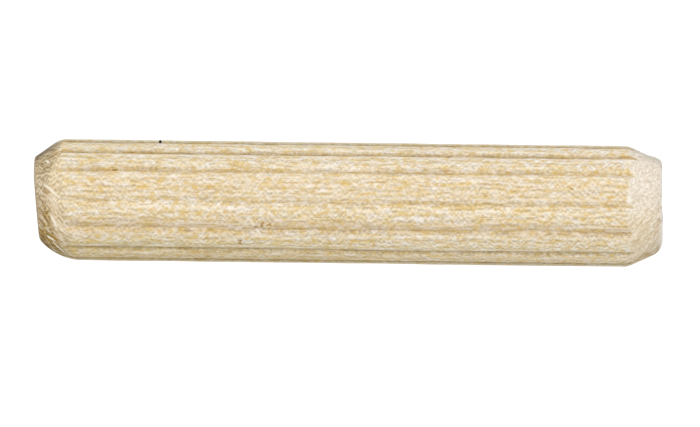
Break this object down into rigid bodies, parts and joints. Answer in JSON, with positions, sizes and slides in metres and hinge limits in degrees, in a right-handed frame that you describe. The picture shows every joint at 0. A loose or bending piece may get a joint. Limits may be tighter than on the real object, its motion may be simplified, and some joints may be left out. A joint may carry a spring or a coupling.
{
  "type": "wooden dowel pin",
  "caption": "Straight wooden dowel pin with pressed lengthwise flutes and chamfered ends, standing on its square end.",
  "frame": {"origin": "middle of the square foot face, which the pin stands on", "axes": "+Z along the pin, from its square foot to its slanted top; the sawn top is highest on the +X side"},
  "size_m": [0.0076, 0.0076, 0.04],
  "materials": {
    "wood": "matte"
  },
  "bodies": {
    "root": {"dowel_pin": "wood"}
  },
  "joints": []
}
